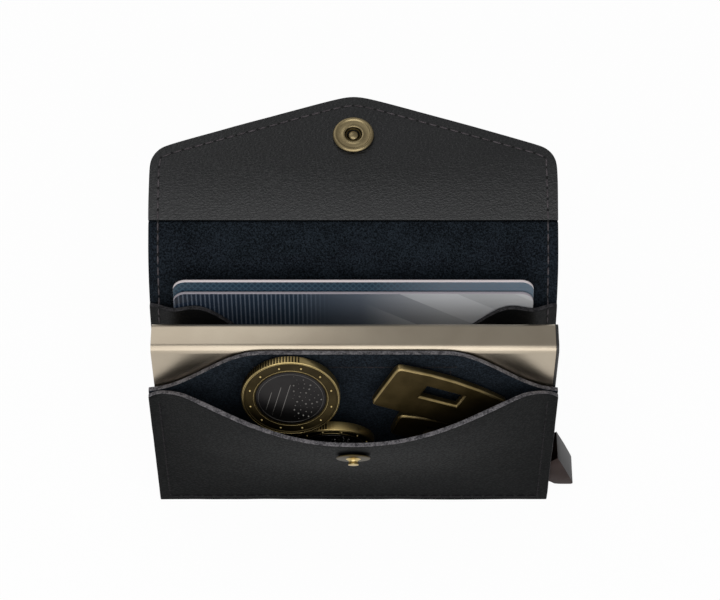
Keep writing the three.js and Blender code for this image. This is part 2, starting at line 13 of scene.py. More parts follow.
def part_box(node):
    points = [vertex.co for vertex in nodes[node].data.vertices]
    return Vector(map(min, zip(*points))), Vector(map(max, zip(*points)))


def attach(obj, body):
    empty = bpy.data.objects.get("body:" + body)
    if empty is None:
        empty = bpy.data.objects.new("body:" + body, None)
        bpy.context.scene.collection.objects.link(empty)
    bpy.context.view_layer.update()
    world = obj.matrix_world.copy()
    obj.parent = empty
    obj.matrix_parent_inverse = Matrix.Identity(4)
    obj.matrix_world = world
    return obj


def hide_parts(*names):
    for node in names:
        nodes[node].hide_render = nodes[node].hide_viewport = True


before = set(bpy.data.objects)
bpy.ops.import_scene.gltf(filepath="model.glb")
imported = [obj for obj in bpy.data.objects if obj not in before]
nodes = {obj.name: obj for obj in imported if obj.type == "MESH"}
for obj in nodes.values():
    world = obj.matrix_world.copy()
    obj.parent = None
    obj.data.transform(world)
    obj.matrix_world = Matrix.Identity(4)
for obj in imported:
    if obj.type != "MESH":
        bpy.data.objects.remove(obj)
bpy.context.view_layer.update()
MM = 0.001

# Driving sizes of the stitching and the coins, in millimetres
SEAM_INSET = 2.3
POCKET_SEAM_INSET = 2.6
STITCH_PITCH = 2.7
THREAD_SIZE = (0.3, 0.42, 2.15)
THREAD_LIFT = 0.05
# The next two sizes are for the dark ellipsoids laid on the leather at each needle hole: painted shade of the
# holes, not holes
HOLE_SHADE_SIZE = (0.1, 0.62, 0.66)
HOLE_SHADE_LIFT = 0.01
COIN_THICKNESS = 2.33
COIN_RIM_RISE = 0.15
UPPER_COIN = (11.625, 8.35)
LOWER_COIN = (10.2, 7.2)

_, strip_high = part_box("inner_leather")
HALF_WIDTH = strip_high.x / MM


# Camera

CAMERA_AT = (1.6, -344.0, 575.4)
CAMERA_TILT = 34.7
CAMERA_LENS = 131.5
FLOOR_WHITE = (1.0, 1.0, 1.0, 1.0)


def make_camera():
    bpy.ops.object.camera_add(location=[c * MM for c in CAMERA_AT])
    camera = bpy.context.object
    camera.rotation_euler = (math.radians(CAMERA_TILT), 0, 0)
    camera.data.lens = CAMERA_LENS
    camera.data.clip_start = 0.01
    camera.data.clip_end = 10
    bpy.context.scene.camera = camera


# Shader nodes


class Socket:
    """A value in a node tree: an expression on sockets adds the Math nodes that work it out."""

    def __init__(self, tree, source):
        self.tree = tree
        self.source = source

    def math(self, operation, *values):
        return self.tree.add("ShaderNodeMath", {"operation": operation}, dict(enumerate((self, *values))))

    def __add__(self, other):
        return self.math("ADD", other)

    def __sub__(self, other):
        return self.math("SUBTRACT", other)

    def __mul__(self, other):
        return self.math("MULTIPLY", other)

    def __truediv__(self, other):
        return self.math("DIVIDE", other)

    def __radd__(self, other):
        return self + other

    def __rsub__(self, other):
        return self.tree.add("ShaderNodeMath", {"operation": "SUBTRACT"}, {0: other, 1: self})

    def abs(self):
        return self.math("ABSOLUTE")

    def below(self, edge):
        return self.math("LESS_THAN", edge)

    def modulo(self, period):
        return self.math("FLOORED_MODULO", period)

    def greatest(self, other):
        return self.math("MAXIMUM", other)

    def smooth(self, start, end):
        settings = {"interpolation_type": "SMOOTHSTEP"}
        inputs = {"Value": self, "From Min": start, "From Max": end}
        return self.tree.add("ShaderNodeMapRange", settings, inputs)


class Finish:
    """A material whose nodes are added by type, settings and inputs."""

    def __init__(self, name):
        self.material = bpy.data.materials.new(name)
        self.material.use_nodes = True
        self.tree = self.material.node_tree
        self.shader = self.tree.nodes["Principled BSDF"]

    def add(self, kind, settings=None, inputs=None, output=0):
        node = self.tree.nodes.new(kind)
        for key, value in (settings or {}).items():
            if key == "stops":
                self.set_stops(node.color_ramp, value)
            else:
                setattr(node, key, value)
        for key, value in (inputs or {}).items():
            self.plug(node.inputs[key], value)
        return Socket(self, node.outputs[output])

    def set_stops(self, ramp, stops):
        while len(ramp.elements) < len(stops):
            ramp.elements.new(0.5)
        for element, (place, colour) in zip(ramp.elements, stops):
            element.position = place
            element.color = (*colour, 1)

    def plug(self, target, value):
        if isinstance(value, Socket):
            self.tree.links.new(value.source, target)
        elif isinstance(value, tuple) and target.type == "RGBA":
            target.default_value = (*value[:3], 1)
        else:
            target.default_value = value

    def place(self, stretch=1.0):
        """Object coordinates in millimetres, with forms drawn out along X by the stretch."""
        coordinates = self.add("ShaderNodeTexCoord", output="Object")
        inputs = {"Vector": coordinates, "Scale": (MM * stretch, MM, MM)}
        return self.add("ShaderNodeMapping", {"vector_type": "TEXTURE"}, inputs)

    def noise(self, vector, scale, detail=2.0, roughness=0.5):
        inputs = {"Vector": vector, "Scale": scale, "Detail": detail, "Roughness": roughness}
        return self.add("ShaderNodeTexNoise", None, inputs)

    def split(self, vector):
        node = self.tree.nodes.new("ShaderNodeSeparateXYZ")
        self.plug(node.inputs[0], vector)
        return [Socket(self, output) for output in node.outputs]

    def mix(self, factor, first, second, blend="MIX"):
        node = self.tree.nodes.new("ShaderNodeMix")
        node.data_type = "RGBA"
        node.blend_type = blend
        self.plug(node.inputs[0], factor)
        self.plug(node.inputs[6], first)
        self.plug(node.inputs[7], second)
        return Socket(self, node.outputs[2])

    def bump(self, height, distance):
        """Bump of a height that runs from 0 to 1 over a distance in millimetres."""
        inputs = {"Height": height, "Distance": distance * MM, "Strength": 1.0}
        return self.add("ShaderNodeBump", None, inputs)

    def set(self, **inputs):
        for key, value in inputs.items():
            self.plug(self.shader.inputs[key.replace("_", " ")], value)
        return self.material


# Materials


def pebbled_leather(name, dark, light, gloss, grain, depth, contrast, shine, stretch=1.5):
    """Smooth dyed leather: shallow pebbles between fine creases, and faint clouding of the dye."""
    finish = Finish(name)
    place = finish.place(stretch)
    clouds = finish.noise(place, 0.06, 3.0, 0.55)
    warp = finish.noise(place, grain * 0.6, 2.0)
    bent = finish.add("ShaderNodeVectorMath", {"operation": "ADD"}, {0: place, 1: warp})
    cells = finish.add(
        "ShaderNodeTexVoronoi", {"feature": "DISTANCE_TO_EDGE"}, {"Vector": bent, "Scale": grain},
    )
    pebbles = cells.smooth(0.0, 0.28)
    pores = finish.noise(place, grain * 4, 2.0, 0.7)
    colour = finish.mix(clouds.smooth(0.3, 0.7), dark, light)
    creases = finish.mix(pebbles, (0.5, 0.5, 0.5), (1.0, 1.0, 1.0))
    height = pebbles * 0.75 + pores * 0.25
    return finish.set(
        Base_Color=finish.mix(contrast, colour, creases, "MULTIPLY"),
        Roughness=gloss + (1 - pebbles) * 0.12 + clouds * 0.08,
        Specular_IOR_Level=shine,
        Normal=finish.bump(height, depth),
    )


def napped_suede(name, dark, light):
    """Brushed suede: short nap with fine speckle, and soft patches where it was brushed another way."""
    finish = Finish(name)
    place = finish.place()
    patches = finish.noise(place, 0.14, 3.0, 0.6)
    fibres = finish.noise(place, 3.6, 3.0, 0.8)
    specks = finish.noise(place, 2.3, 2.0, 0.75)
    mixture = (patches * 0.14 + fibres * 0.42 + specks * 0.56).smooth(0.46, 0.7)
    return finish.set(
        Base_Color=finish.mix(mixture, dark, light),
        Roughness=0.95,
        Specular_IOR_Level=0.08,
        Sheen_Weight=0.06,
        Sheen_Roughness=0.5,
        Sheen_Tint=(0.35, 0.5, 0.7, 1),
        Normal=finish.bump(fibres * 0.5 + specks * 0.5, 0.2),
    )


def raw_edge(name, dark, light):
    """Cut edge of the leather: pale grey fibres, rough and uneven."""
    finish = Finish(name)
    place = finish.place()
    fibres = finish.noise(place, 2.2, 4.0, 0.8)
    runs = finish.noise(place, 0.5, 2.0)
    mixture = (fibres * 0.75 + runs * 0.35).smooth(0.42, 0.68)
    return finish.set(
        Base_Color=finish.mix(mixture, dark, light),
        Roughness=0.92,
        Specular_IOR_Level=0.2,
        Normal=finish.bump(fibres, 0.25),
    )


def satin_metal(name, base, shade, gloss, speckle=0.04, depth=0.004):
    """Bead-blasted metal: a fine even tooth and slow changes of tone."""
    finish = Finish(name)
    place = finish.place()
    tooth = finish.noise(place, 9.0, 2.0, 0.6)
    slow = finish.noise(place, 0.12, 2.0)
    return finish.set(
        Base_Color=finish.mix(slow.smooth(0.35, 0.65), base, shade),
        Metallic=1.0,
        Roughness=gloss + tooth * speckle,
        Normal=finish.bump(tooth, depth),
    )


def antique_brass(name, bright, dark, gloss=0.34):
    """Brass mixed from a darker and a brighter colour in slow patches, with a fine even tooth."""
    finish = Finish(name)
    place = finish.place()
    rubbed = finish.noise(place, 0.22, 2.0, 0.5)
    tooth = finish.noise(place, 5.0, 2.0, 0.7)
    mixture = (rubbed * 0.8 + tooth * 0.2).smooth(0.3, 0.7)
    return finish.set(
        Base_Color=finish.mix(mixture, dark, bright),
        Metallic=1.0,
        Roughness=gloss + tooth * 0.14,
        Normal=finish.bump(tooth, 0.008),
    )


def plain_plastic(name, colour, gloss):
    finish = Finish(name)
    tooth = finish.noise(finish.place(), 4.0, 2.0, 0.6)
    return finish.set(
        Base_Color=finish.mix(tooth, colour, tuple(c * 1.25 for c in colour)),
        Roughness=gloss + tooth * 0.1,
        Normal=finish.bump(tooth, 0.02),
    )


def paint(obj, *finishes):
    obj.data.materials.clear()
    for finish in finishes:
        obj.data.materials.append(finish)


def bank_card(name, stops, stripe, pitch, share, slant=0.0):
    """Printed card: a tone that changes along it, with a slanted lattice or with upright lines and facets."""
    finish = Finish(name)
    x, _, z = finish.split(finish.place())
    tone = finish.add("ShaderNodeValToRGB", {"stops": stops}, {"Fac": (x + CARD_HALF) / (2 * CARD_HALF)})
    rise = z * slant
    half_line = pitch * LINE_SHARE
    first = ((x + rise).modulo(pitch) - pitch / 2).abs().below(half_line)
    second = ((x - rise).modulo(pitch) - pitch / 2).abs().below(half_line)
    lines = first.greatest(second) * share
    if not slant:
        lines = lines * (1 - (x + LINES_END).smooth(0.0, LINES_FADE))
        facets = (x * FACET_SLOPE + z - FACET_START).modulo(FACET_PITCH).below(FACET_PITCH / 2)
        facets = facets * (x - 2).smooth(0.0, 14.0)
        tone = finish.mix(facets * 0.4, tone, (0.55, 0.56, 0.58))
    tooth = finish.noise(finish.place(), 5.0, 2.0, 0.6)
    return finish.set(
        Base_Color=finish.mix(lines, tone, stripe),
        Roughness=0.26 + tooth * 0.1,
        Normal=finish.bump(tooth, 0.01),
    )


# Print of the cards, in millimetres but for the shares and slope
CARD_HALF = 43
LINE_SHARE = 0.16
LINES_END = 14
LINES_FADE = 10.0
FACET_SLOPE = 0.62
FACET_START = 3
FACET_PITCH = 17.0

# Each leather, edge, metal and plastic: its darker and lighter colours, then what its function names
CHARCOAL = pebbled_leather(
    "charcoal_leather", (0.003, 0.0034, 0.0036), (0.0048, 0.0053, 0.0056), 0.48, 1.4, 0.03, 0.45, 0.06,
)
FACING = pebbled_leather(
    "facing_leather", (0.004, 0.0045, 0.0052), (0.0068, 0.0074, 0.0084), 0.3, 1.6, 0.05, 0.5, 0.5, 1.8,
)
PANEL = pebbled_leather(
    "panel_leather", (0.0022, 0.0025, 0.0028), (0.004, 0.0045, 0.005), 0.45, 1.5, 0.015, 0.3, 0.15,
)
SUEDE_NAP = napped_suede("navy_suede", (0.0008, 0.0014, 0.0022), (0.0155, 0.0215, 0.029))
EDGE = raw_edge("cut_edge", (0.03, 0.029, 0.033), (0.2, 0.19, 0.2))
DARK_EDGE = raw_edge("dyed_edge", (0.01, 0.01, 0.011), (0.05, 0.048, 0.052))
DARK_THREAD = raw_edge("thread", (0.004, 0.0035, 0.0045), (0.02, 0.017, 0.02))
MAUVE_THREAD = raw_edge("mauve_thread", (0.04, 0.035, 0.038), (0.1, 0.088, 0.095))
# Near-black ellipsoids at the needle holes: painted shade of the holes
HOLE_SHADE = plain_plastic("needle_hole_painted_shade", (0.001, 0.001, 0.0012), 0.9)

CHAMPAGNE = satin_metal("champagne_aluminium", (0.52, 0.45, 0.35), (0.49, 0.42, 0.325), 0.3)
LEVER = satin_metal("lever_metal", (0.042, 0.027, 0.0245), (0.034, 0.0225, 0.02), 0.42)
LEVER_SIDE = satin_metal("lever_side", (0.026, 0.024, 0.0255), (0.022, 0.0205, 0.0215), 0.44)
STEEL = satin_metal("steel", (0.5, 0.5, 0.51), (0.45, 0.45, 0.46), 0.28)
# Nickel of the coin core, darkened far below real nickel: painted shade; its relief in the brighter nickel
# below: painted highlight
SHADE_DARKENED_NICKEL = satin_metal("nickel_core_painted_shade", (0.034, 0.032, 0.032), (0.026, 0.0245, 0.025), 0.34, 0.12, 0.012)
HIGHLIGHT_NICKEL = satin_metal("painted_highlight_nickel", (0.2, 0.19, 0.18), (0.15, 0.145, 0.135), 0.28)

# Brass of the coins, darkened far below real brass: painted shade of dark reflections
SHADE_DARKENED_BRASS = antique_brass("antique_brass", (0.055, 0.041, 0.018), (0.034, 0.025, 0.0105))
SNAP_BRASS = antique_brass("pale_brass", (0.36, 0.29, 0.16), (0.28, 0.22, 0.12), 0.3)
# Darker brass of the stud's flange (and the hidden spring): painted shade, against the post's painted
# highlight
SHADE_DULLED_BRASS = antique_brass("shade_dulled_brass", (0.075, 0.055, 0.022), (0.047, 0.034, 0.0135), 0.36)
# Bright brass for the coin relief, the coin rims' edges and the stud's post: painted highlight
HIGHLIGHT_BRASS = antique_brass("painted_highlight_brass", (0.62, 0.48, 0.22), (0.5, 0.38, 0.16), 0.28)
# Key faces in darkened brass, painted shade; their eased arrises in bright brass, painted highlight
KEY_BRASS_SHADE = antique_brass("key_brass_painted_shade", (0.066, 0.047, 0.019), (0.042, 0.03, 0.0115), 0.5)
KEY_EDGE_HIGHLIGHT = antique_brass("key_edge_painted_highlight", (0.33, 0.25, 0.12), (0.22, 0.165, 0.07), 0.3)

BLACK = plain_plastic("black_plastic", (0.012, 0.012, 0.012), 0.45)
FELT = plain_plastic("felt", (0.015, 0.015, 0.016), 0.9)
TAPE = plain_plastic("tape", (0.5, 0.49, 0.45), 0.3)
CARD_CORE = plain_plastic("card_core", (0.62, 0.56, 0.57), 0.5)
CARD_CORE_DIM = plain_plastic("card_core_dim", (0.34, 0.31, 0.34), 0.5)

BLUE_STOPS = [
    (0.0, (0.012, 0.032, 0.055)), (0.4, (0.01, 0.025, 0.046)), (0.55, (0.013, 0.03, 0.05)),
    (0.75, (0.1, 0.125, 0.16)), (1.0, (0.11, 0.145, 0.185)),
]
BLUE_CARD = bank_card("blue_card", BLUE_STOPS, (0.075, 0.14, 0.19), 1.5, 0.3, 0.8)
SILVER_STOPS = [
    (0.0, (0.008, 0.015, 0.03)), (0.34, (0.016, 0.028, 0.045)), (0.52, (0.08, 0.095, 0.12)),
    (0.75, (0.31, 0.32, 0.335)), (1.0, (0.38, 0.385, 0.395)),
]
SILVER_CARD = bank_card("silver_card", SILVER_STOPS, (0.16, 0.19, 0.24), 1.05, 0.45)

HIDDEN_FINISHES = {
    "snap_spring": SHADE_DULLED_BRASS,
    "stud_washer": STEEL,
    "card_guide_top": FELT,
    "card_guide_bottom": FELT,
    "lever_pin": STEEL,
    "tape_front": TAPE,
    "tape_bottom": TAPE,
}
for node, finish in HIDDEN_FINISHES.items():
    paint(nodes[node], finish)


# Modelling


def choose(piece):
    bpy.ops.object.select_all(action="DESELECT")
    piece.select_set(True)
    bpy.context.view_layer.objects.active = piece


def apply_modifier(piece, kind, **settings):
    choose(piece)
    modifier = piece.modifiers.new(kind.lower(), kind)
    for key, value in settings.items():
        setattr(modifier, key, value)
    bpy.ops.object.modifier_apply(modifier=modifier.name)


def edit(piece, *steps):
    """Run mesh operators, given as functions, on everything in a piece."""
    choose(piece)
    bpy.ops.object.mode_set(mode="EDIT")
    bpy.ops.mesh.select_all(action="SELECT")
    for step in steps:
        step()
    bpy.ops.object.mode_set(mode="OBJECT")


def merge_corners():
    bpy.ops.mesh.remove_doubles(threshold=0.000002)


def square_up():
    bpy.ops.mesh.tris_convert_to_quads(face_threshold=math.radians(30), shape_threshold=math.radians(50))


def smooth(piece, angle=35):
    choose(piece)
    bpy.ops.object.shade_smooth_by_angle(angle=math.radians(angle))


def settle(piece, body="wallet", replaced=()):
    """Put a finished piece's place in its mesh, parent it to the empty of the body it rides on, and hide the
    parts it stands for.
    """
    choose(piece)
    bpy.ops.object.transform_apply(location=True, rotation=True, scale=True)
    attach(piece, body)
    if replaced:
        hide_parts(*replaced)
    return piece


def join(pieces, name):
    choose(pieces[0])
    for piece in pieces:
        piece.select_set(True)
    bpy.ops.object.join()
    joined = bpy.context.object
    joined.name = name
    return joined


def copy_of(node, name):
    mesh = nodes[node].data.copy()
    piece = bpy.data.objects.new(name, mesh)
    bpy.context.collection.objects.link(piece)
    edit(piece, merge_corners, square_up)
    return piece


def dressed(node, name, finish, bevel=0.12, segments=2, angle=30, body="wallet"):
    """A hard piece as the frame has it, with its arrises eased and its rounds smooth."""
    piece = copy_of(node, name)
    paint(piece, finish)
    apply_modifier(
        piece, "BEVEL", width=bevel * MM, segments=segments, limit_method="ANGLE",
        angle_limit=math.radians(angle), use_clamp_overlap=True,
    )
    smooth(piece, angle + 8)
    return settle(piece, body, [node])


# Leather work

leather_waves = bpy.data.textures.new("leather_waves", "CLOUDS")
leather_waves.noise_scale = 14 * MM
leather_waves.noise_depth = 1


def leather_piece(node, name, finishes, choose_finish, waves=0.2, levels=2):
    """A cut sheet of leather: eased edges, smooth bends and slight waves, with a finish for each side."""
    piece = copy_of(node, name)
    paint(piece, *finishes)
    for polygon in piece.data.polygons:
        polygon.material_index = choose_finish(polygon.center / MM, polygon.normal)
    apply_modifier(
        piece, "BEVEL", width=0.22 * MM, segments=2, limit_method="ANGLE", angle_limit=math.radians(48),
        use_clamp_overlap=True,
    )
    apply_modifier(piece, "SUBSURF", levels=levels, render_levels=levels)
    apply_modifier(
        piece, "DISPLACE", texture=leather_waves, strength=waves * MM, mid_level=0.5, texture_coords="LOCAL",
    )
    smooth(piece, 50)
    return settle(piece, replaced=[node])


# Slots of a leather piece's finishes, and places on it in millimetres
FACE, BACK, RIM, CASE_RIM = 0, 1, 2, 3
LEAF_MIDDLE = 30
FOLD_TOP = 3
FLAP_START = 34


def wall_finish(_, normal):
    """The front wall: smooth outside, suede inside, with raw edges."""
    if abs(normal.x) > 0.7 or abs(normal.y) < 0.5:
        return RIM
    return FACE if normal.y < 0 else BACK


def strip_finish(centre, normal):
    """The inner leather: suede on the outside of its fold, smooth towards the case."""
    top_edge = normal.z > 0.6 and centre.z > LEAF_MIDDLE
    if abs(normal.x) > 0.75 or top_edge:
        return RIM if centre.y < 0 else CASE_RIM
    if centre.z < FOLD_TOP and abs(normal.z) > 0.5:
        return FACE if normal.z < 0 else BACK
    return FACE if normal.y * centre.y > 0 else BACK


def back_finish(centre, normal):
    """The back, its lining and the facing: one side towards the cards, one outwards, with dyed edges."""
    on_flap = centre.y > FLAP_START
    edge = abs(normal.x) > 0.7 or (abs(normal.z) < 0.6 if on_flap else abs(normal.y) < 0.25)
    if edge:
        return RIM
    return FACE if normal.y < 0 or (on_flap and normal.z > 0) else BACK


outer_leather = leather_piece(
    "back_panel_and_flap", "outer_leather", (SUEDE_NAP, CHARCOAL, DARK_EDGE), back_finish,
)
facing = leather_piece(
    "flap_facing", "flap_facing_leather", (FACING, SUEDE_NAP, DARK_EDGE), back_finish, 0.16,
)
lining = leather_piece(
    "back_lining", "suede_lining", (SUEDE_NAP, SUEDE_NAP, SUEDE_NAP), back_finish, 0.1, 1,
)
inner_strip = leather_piece(
    "inner_leather", "folded_leather", (SUEDE_NAP, PANEL, EDGE, DARK_EDGE), strip_finish, 0.14,
)
pocket_wall = leather_piece(
    "coin_pocket_front", "coin_pocket_wall", (CHARCOAL, SUEDE_NAP, EDGE), wall_finish, 0.3,
)


# Stitching. A row is laid out flat in a view of the leather, then cast onto it along the view.

PATH_STEPS = 12
VIEW_DISTANCE = 0.4
LEAST_TURN_SHARE = 0.5
LEAST_LEG = 0.8


def surface_of(*pieces):
    corners = []
    faces = []
    for piece in pieces:
        first = len(corners)
        corners.extend(vertex.co.copy() for vertex in piece.data.vertices)
        faces.extend([first + i for i in polygon.vertices] for polygon in piece.data.polygons)
    return BVHTree.FromPolygons(corners, faces)


def edge_inset(points, inset):
    """An open line on the left of which the leather ends, moved to its right by the inset."""
    moved = []
    for i, point in enumerate(points):
        before = (point - points[i - 1]).normalized() if i else (points[1] - point).normalized()
        after = (points[i + 1] - point).normalized() if i + 1 < len(points) else before
        side = Vector((before.y + after.y, -before.x - after.x))
        side.normalize()
        share = max(side.dot(Vector((before.y, -before.x))), LEAST_TURN_SHARE)
        moved.append(point + side * inset / share)
    return moved


def evenly(points, pitch):
    """Points a pitch apart along a line, each with the line's direction there."""
    lengths = [0.0]
    for first, second in zip(points, points[1:]):
        lengths.append(lengths[-1] + (second - first).length)
    count = max(round(lengths[-1] / pitch), 1)
    spots = []
    leg = 0
    for i in range(count):
        along = lengths[-1] * (i + 0.5) / count
        while lengths[leg + 1] < along:
            leg += 1
        share = (along - lengths[leg]) / (lengths[leg + 1] - lengths[leg])
        spots.append((points[leg].lerp(points[leg + 1], share), (points[leg + 1] - points[leg]).normalized()))
    return spots


def make_grain(size, slot, finishes):
    """An ellipsoid of a size in millimetres (outward, across, along), in one of the row's finishes."""
    bpy.ops.mesh.primitive_uv_sphere_add(segments=8, ring_count=6, radius=0.5)
    grain = bpy.context.object
    grain.data.transform(Matrix.Diagonal((*(s * MM for s in size), 1)))
    paint(grain, *finishes)
    for polygon in grain.data.polygons:
        polygon.material_index = slot
    return grain


def stitch_row(name, line, right, up, surface, finish):
    """Stitches along a line of (right, up) points in millimetres, seen along right x up, with dark ellipsoids
    of painted shade at the needle holes.
    """
    look = up.cross(right)
    start = [right * x * MM + up * y * MM - look * VIEW_DISTANCE for x, y in line]
    dense = [a.lerp(b, i / PATH_STEPS) for a, b in zip(start, start[1:]) for i in range(PATH_STEPS)]
    hits = [surface.ray_cast(point, look) for point in (*dense, start[-1])]
    path = [hit[0] for hit in hits if hit[0] is not None]
    thread = make_grain(THREAD_SIZE, 0, (finish, HOLE_SHADE))
    hole_shade = make_grain(HOLE_SHADE_SIZE, 1, (finish, HOLE_SHADE))
    strands = []
    for spot, direction in evenly(path, STITCH_PITCH * MM):
        _, normal, _, _ = surface.find_nearest(spot)
        if normal.dot(look) > 0:
            normal = -normal
        across = direction.cross(normal).normalized()
        outward = across.cross(direction).normalized()
        turn = Matrix((outward, across, direction)).transposed().to_4x4()
        if turn.determinant() < 0:
            turn = Matrix((outward, -across, direction)).transposed().to_4x4()
        for shape, along, lift in ((thread, 0.0, THREAD_LIFT), (hole_shade, STITCH_PITCH / 2, HOLE_SHADE_LIFT)):
            strand = bpy.data.objects.new(name, shape.data.copy())
            place = spot + direction * along * MM + outward * lift * MM
            strand.data.transform(Matrix.Translation(place) @ turn)
            bpy.context.collection.objects.link(strand)
            strands.append(strand)
    bpy.data.objects.remove(thread)
    bpy.data.objects.remove(hole_shade)
    row = join(strands, name)
    bpy.ops.object.shade_smooth()
    return settle(row)


def outline_seen(node, right, up, foot):
    """Outline of a node in a view, from a foot height up its left side, over and down its right side."""
    corners = [vertex.co for vertex in nodes[node].data.vertices]
    line = []
    for x, y in sorted({(round(c.dot(right) / MM, 2), round(c.dot(up) / MM, 2)) for c in corners}):
        while len(line) > 1:
            (x1, y1), (x2, y2) = line[-2:]
            if (x2 - x1) * (y - y1) < (y2 - y1) * (x - x1):
                break
            line.pop()
        line.append((x, y))
    spaced = [line[0]]
    for point in line[1:]:
        if math.dist(point, spaced[-1]) > LEAST_LEG:
            spaced.append(point)
    return [Vector((spaced[0][0], foot)), *map(Vector, spaced[1:-1]), Vector((spaced[-1][0], foot))]


ALONG = Vector((1, 0, 0))
FRONT_UP = Vector((0, 0.8221, 0.5693))
BACK_UP = Vector((0, 0.7071, 0.7071))
UP = Vector((0, 0, 1))
FLAP_ROW_FOOT = 39
BACK_ROW_FOOT = 7
POCKET_ROW_FOOT = 2.0

inside_surface = surface_of(facing, lining, inner_strip)
flap_line = edge_inset(outline_seen("flap_facing", ALONG, FRONT_UP, FLAP_ROW_FOOT), SEAM_INSET)
stitch_row("flap_stitches", flap_line, ALONG, FRONT_UP, inside_surface, MAUVE_THREAD)

outside_surface = surface_of(outer_leather)
back_line = edge_inset(outline_seen("back_panel_and_flap", -ALONG, BACK_UP, BACK_ROW_FOOT), SEAM_INSET)
stitch_row("back_stitches", back_line, -ALONG, BACK_UP, outside_surface, DARK_THREAD)

wall_surface = surface_of(pocket_wall)
wall_x = HALF_WIDTH - POCKET_SEAM_INSET
for side, name in ((-1, "pocket_stitches_left"), (1, "pocket_stitches_right")):
    line = [(side * wall_x, z) for z in (POCKET_ROW_FOOT, 10.0, 20.0, 30.0, 40.0, 46.6)]
    stitch_row(name, line, ALONG, UP, wall_surface, DARK_THREAD)
foot_line = [(x * wall_x / 4, POCKET_ROW_FOOT) for x in range(-4, 5)]
stitch_row("pocket_stitches_foot", foot_line, ALONG, UP, wall_surface, DARK_THREAD)

strip_surface = surface_of(inner_strip)
inner_line = [(-22.9, 47), (-22.9, 53), (-22.9, 58.9), (0, 58.9), (22.9, 58.9), (22.9, 53), (22.9, 47)]
stitch_row("inner_seam", inner_line, ALONG, UP, strip_surface, DARK_THREAD)


# Card case, lever, keys and fastener

STUD_POST_REACH = 2.2
STUD_POST_LENGTH = 2.3

dressed("case_tube", "case_shell", CHAMPAGNE, 0.1, 2, 32)
dressed("case_end_cap", "case_end", BLACK, 0.1)
dressed("snap_socket", "snap_ring", SNAP_BRASS, 0.07, 2, 24)
dressed("snap_cap", "snap_back", SNAP_BRASS, 0.07, 2, 24)
stud = dressed("snap_stud", "stud_post", SHADE_DULLED_BRASS, 0.05, 2, 24)
stud.data.materials.append(HIGHLIGHT_BRASS)
# The post's faces get the bright brass, a painted highlight; the flange keeps the darker brass, painted shade
stud_low, stud_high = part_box("snap_stud")
for polygon in stud.data.polygons:
    from_axis = polygon.center - (stud_low + stud_high) / 2
    on_post = math.hypot(from_axis.x, from_axis.z) < STUD_POST_REACH * MM
    if on_post and polygon.center.y < stud_low.y + STUD_POST_LENGTH * MM:
        polygon.material_index = 1

lever = dressed("push_lever", "lever_arm", LEVER, 0.28, 3, 25, "lever")
lever.data.materials.append(LEVER_SIDE)
for polygon in lever.data.polygons:
    if polygon.normal.x > 0.8:
        polygon.material_index = 1


def flat_brass(node, name):
    """A flat key of brass darkened as painted shade, its eased arrises in brighter brass as a painted
    highlight.
    """
    piece = dressed(node, name, KEY_BRASS_SHADE, 0.16, 2, 24)
    piece.data.materials.append(KEY_EDGE_HIGHLIGHT)
    flat = max(piece.data.polygons, key=lambda p: p.area).normal
    for polygon in piece.data.polygons:
        if abs(polygon.normal.dot(flat)) < 0.97:
            polygon.material_index = 1
    return piece


flat_brass("key_upper", "wide_key")
flat_brass("key_lower", "narrow_key")


# Coins. Their relief is plain geometry: rings, beads, bars and dots.

COIN_HALF = COIN_THICKNESS / 2
COIN_FIELD = COIN_HALF - COIN_RIM_RISE
GOLDEN_ANGLE = 2.39996
RING_BEADS = 12
CORE_DOTS = 90


def coin_frame(node):
    """Centre, axis towards the front, and in-plane directions of a coin's ring."""
    mesh = nodes[node].data
    centre = sum((v.co for v in mesh.vertices), Vector()) / len(mesh.vertices)
    far = max(mesh.polygons, key=lambda p: p.area * (1 if p.normal.y < -0.5 else 0))
    axis = far.normal.normalized()
    side = Vector((0, 0, 1)).cross(axis).normalized()
    rise = axis.cross(side).normalized()
    return centre, axis, side, rise


def placed(centre, axis, side, rise, x, y, out, turn=0.0):
    """Matrix that stands a shape made along Z on a coin's face, millimetres from its centre."""
    spin = Matrix.Rotation(turn, 4, "Z")
    base = Matrix((side, rise, axis)).transposed().to_4x4()
    spot = centre + (side * x + rise * y + axis * out) * MM
    return Matrix.Translation(spot) @ base @ spin


def relief(name, pieces, finish):
    piece = join(pieces, name)
    paint(piece, finish)
    smooth(piece, 40)
    return settle(piece)


def raised_block(matrix, size):
    bpy.ops.mesh.primitive_cube_add(size=1)
    block = bpy.context.object
    block.data.transform(matrix @ Matrix.Diagonal((size[0] * MM, size[1] * MM, size[2] * MM, 1)))
    return block


def raised_ring(matrix, radius, width):
    bpy.ops.mesh.primitive_torus_add(
        major_segments=72, minor_segments=6, major_radius=radius * MM, minor_radius=width * MM,
    )
    ring = bpy.context.object
    ring.data.transform(matrix)
    return ring


def raised_bead(matrix, radius):
    bpy.ops.mesh.primitive_uv_sphere_add(segments=8, ring_count=5, radius=radius * MM)
    bead = bpy.context.object
    bead.data.transform(matrix)
    return bead


